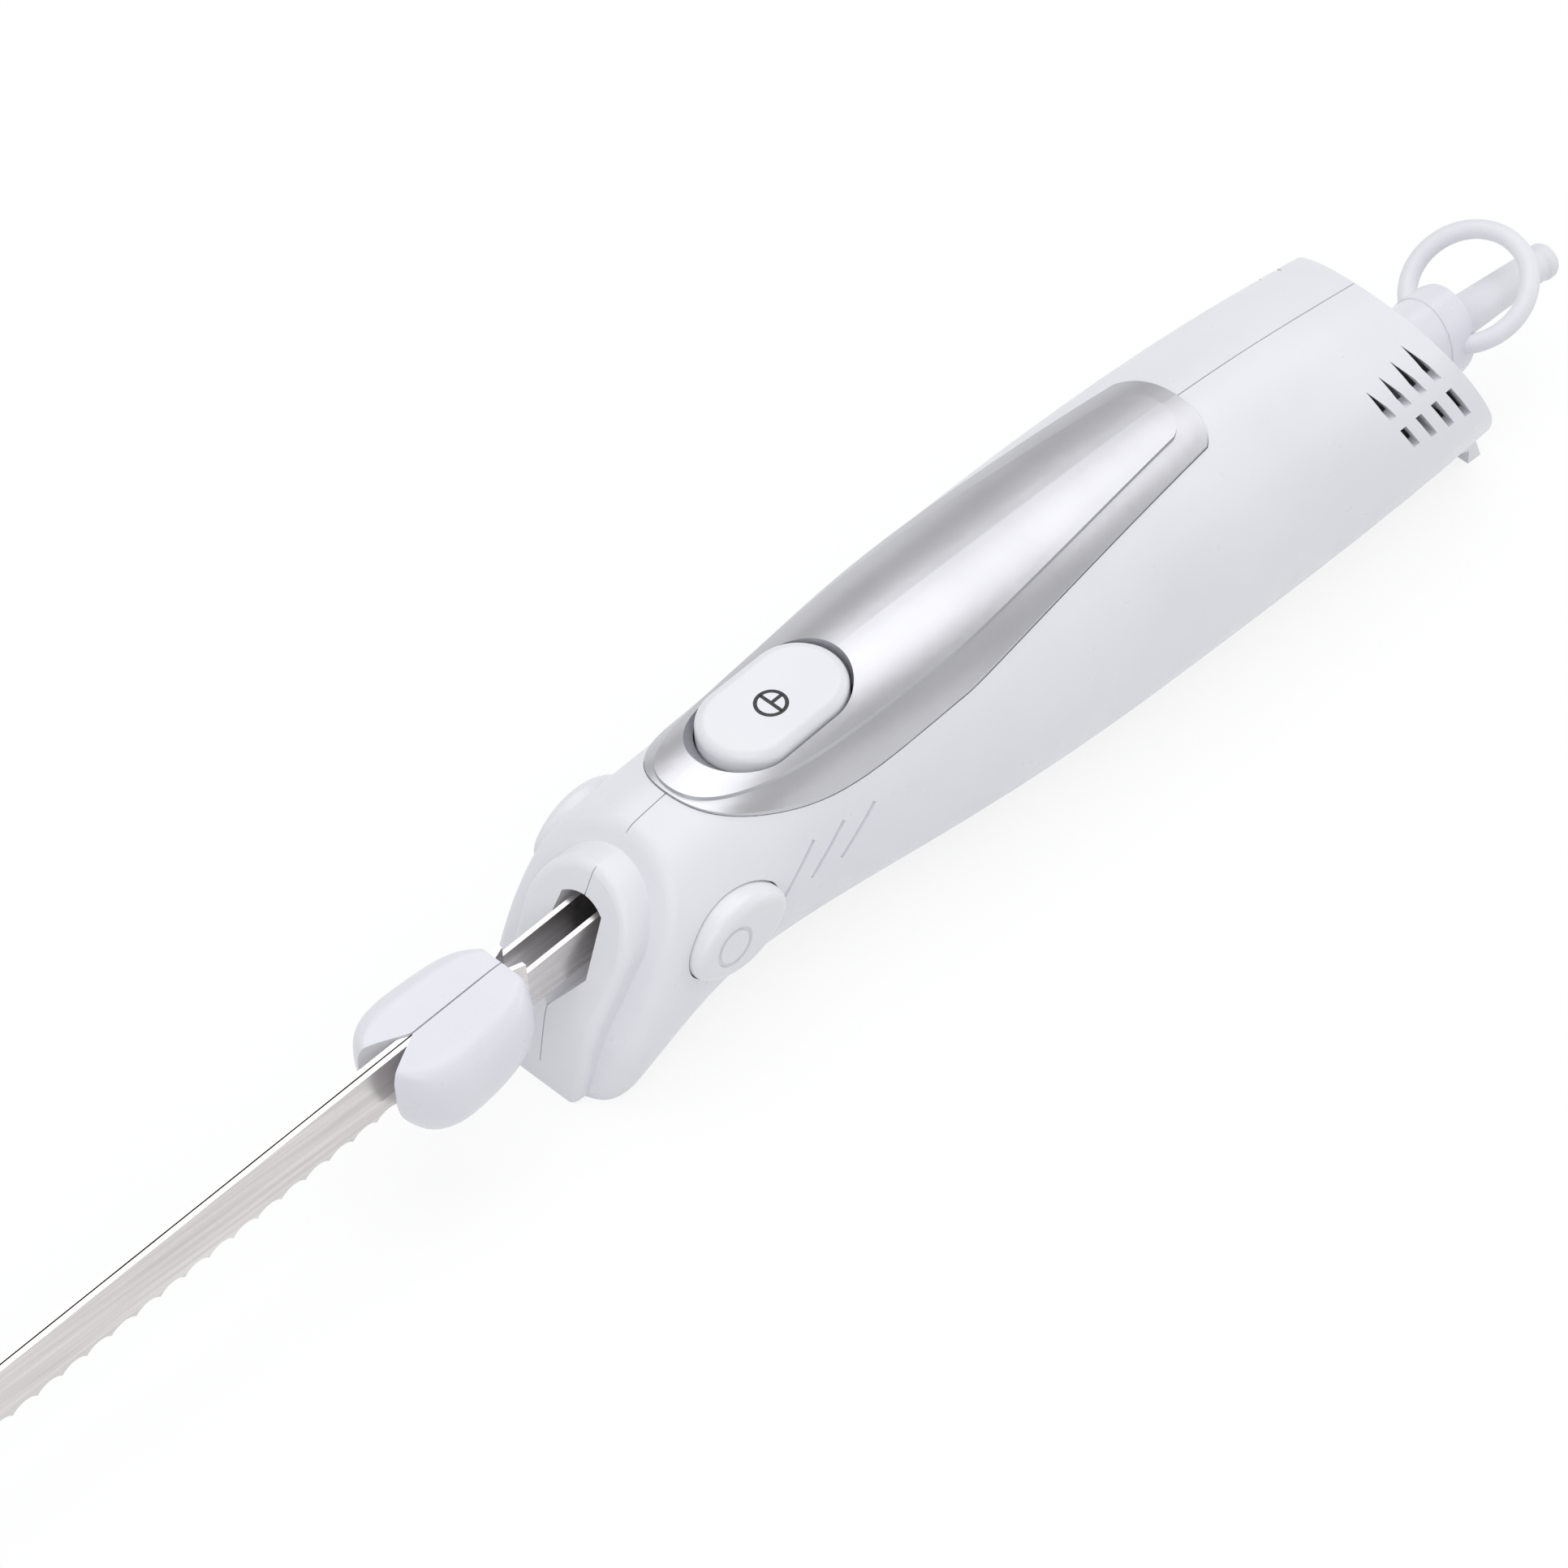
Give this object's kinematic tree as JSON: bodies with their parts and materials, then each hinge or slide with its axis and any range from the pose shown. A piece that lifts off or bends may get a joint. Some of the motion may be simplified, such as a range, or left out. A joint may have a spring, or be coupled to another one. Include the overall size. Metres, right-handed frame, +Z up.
{
  "type": "electric carving knife",
  "caption": "Electric carving knife: white handle with silver top cover, oval push button, side release buttons, rear vents and hanging loop, and paired serrated blades on flared grips.",
  "frame": {"origin": "centre of the heel's flat rest face, under the blade slot, on the table", "axes": "+X to the rear along the handle towards the cord, +Y to the user's right, +Z up; the blades point towards -X"},
  "size_m": [0.4949, 0.049, 0.057],
  "materials": {
    "white_shell": "glossy white moulded housing",
    "silver_cover": "satin silver paint on moulded plastic",
    "white_button": "glossy white moulded button",
    "white_grip": "glossy white plastic moulded over the blade",
    "blade_steel": "ground stainless steel",
    "machine_steel": "bright turned steel",
    "spring_steel": "drawn spring steel",
    "screw_steel": "zinc plated steel",
    "white_rubber": "soft white cord boot",
    "white_loop": "white moulded hanging loop",
    "white_collar": "glossy white collar",
    "frame_plastic": "glass filled black plastic",
    "slider_plastic": "natural acetal plastic",
    "gear_plastic": "natural nylon",
    "bronze": "sintered bronze",
    "lamination": "stacked electrical steel",
    "copper": "enamelled copper wire",
    "commutator_copper": "turned copper segments",
    "carbon": "pressed carbon",
    "brass_holder": "folded brass",
    "fan_plastic": "white moulded fan",
    "switch_plastic": "black switch case",
    "capacitor_case": "yellow moulded case"
  },
  "bodies": {
    "handle": {"housing_left": "white_shell", "housing_right": "white_shell", "housing_screws": "screw_steel", "top_cover": "silver_cover", "switch_body": "switch_plastic", "button_spring": "spring_steel", "release_spring_left": "spring_steel", "release_spring_right": "spring_steel", "cord_collar": "white_collar", "cord_boot": "white_rubber", "hanging_loop": "white_loop", "cord_clamp": "frame_plastic", "clamp_screws": "screw_steel", "guide_sleeve": "frame_plastic", "gear_frame": "frame_plastic", "wheel_axle": "machine_steel", "front_bearing": "bronze", "nose_bush": "bronze", "rear_bearing": "bronze", "stator_core": "lamination", "field_coil_upper": "copper", "field_coil_lower": "copper", "motor_bracket": "frame_plastic", "brush_holder_left": "brass_holder", "brush_holder_right": "brass_holder", "carbon_brush_left": "carbon", "carbon_brush_right": "carbon", "brush_spring_left": "spring_steel", "brush_spring_right": "spring_steel", "suppressor_capacitor": "capacitor_case"},
    "power_button": {"power_button": "white_button", "switch_plunger": "slider_plastic"},
    "release_left": {"release_button_left": "white_button"},
    "release_right": {"release_button_right": "white_button"},
    "armature": {"motor_shaft": "machine_steel", "armature_core": "lamination", "armature_windings": "copper", "commutator": "commutator_copper", "cooling_fan": "fan_plastic"},
    "wheel": {"worm_wheel": "gear_plastic", "crank_pin_left": "machine_steel", "crank_pin_right": "machine_steel"},
    "slider_left": {"blade_slider_left": "slider_plastic", "latch_spring_left": "spring_steel"},
    "slider_right": {"blade_slider_right": "slider_plastic", "latch_spring_right": "spring_steel"},
    "blade_left": {"blade_left": "blade_steel", "blade_grip_left": "white_grip", "blade_rivet": "machine_steel"},
    "blade_right": {"blade_right": "blade_steel", "blade_grip_right": "white_grip"}
  },
  "joints": [
    {"name": "power_button_press", "type": "slide", "parent": "handle", "child": "power_button", "axis": [0.0732, 0, -0.9973], "range_m": [0, 0.0022], "stiffness_N_per_m": 900, "springref_m": -0.0015, "deforming": ["button_spring"]},
    {"name": "release_left_press", "type": "slide", "parent": "handle", "child": "release_left", "axis": [0, 1, 0], "range_m": [0, 0.0018], "stiffness_N_per_m": 900, "springref_m": -0.0015, "deforming": ["release_spring_left"]},
    {"name": "release_right_press", "type": "slide", "parent": "handle", "child": "release_right", "axis": [0, -1, 0], "range_m": [0, 0.0018], "stiffness_N_per_m": 900, "springref_m": -0.0015, "deforming": ["release_spring_right"]},
    {"name": "armature_spin", "type": "hinge", "parent": "handle", "child": "armature", "pos_m": [0.10076, 0, 0.02336], "axis": [0.9973, 0, 0.0732], "continuous": true},
    {"name": "worm_wheel_spin", "type": "hinge", "parent": "handle", "child": "wheel", "pos_m": [0.08876, 0, 0.03662], "axis": [0, 1, 0], "continuous": true},
    {"name": "left_blade_stroke", "type": "slide", "parent": "handle", "child": "slider_left", "axis": [0.9973, 0, 0.0732], "range_m": [-0.0035, 0.0035]},
    {"name": "right_blade_stroke", "type": "slide", "parent": "handle", "child": "slider_right", "axis": [0.9973, 0, 0.0732], "range_m": [-0.0035, 0.0035]},
    {"name": "left_blade_pull", "type": "slide", "parent": "slider_left", "child": "blade_left", "axis": [-0.9973, 0, -0.0732], "range_m": [0, 0.07], "deforming": ["latch_spring_left"]},
    {"name": "right_blade_pull", "type": "slide", "parent": "slider_right", "child": "blade_right", "axis": [-0.9973, 0, -0.0732], "range_m": [0, 0.07], "deforming": ["latch_spring_right"]}
  ],
  "couplings": [
    {"joint": "worm_wheel_spin", "follows": "armature_spin", "ratio": 0.047619},
    {"joint": "right_blade_stroke", "follows": "left_blade_stroke", "ratio": -1},
    {"joint": "right_blade_pull", "follows": "left_blade_pull", "ratio": 1}
  ]
}
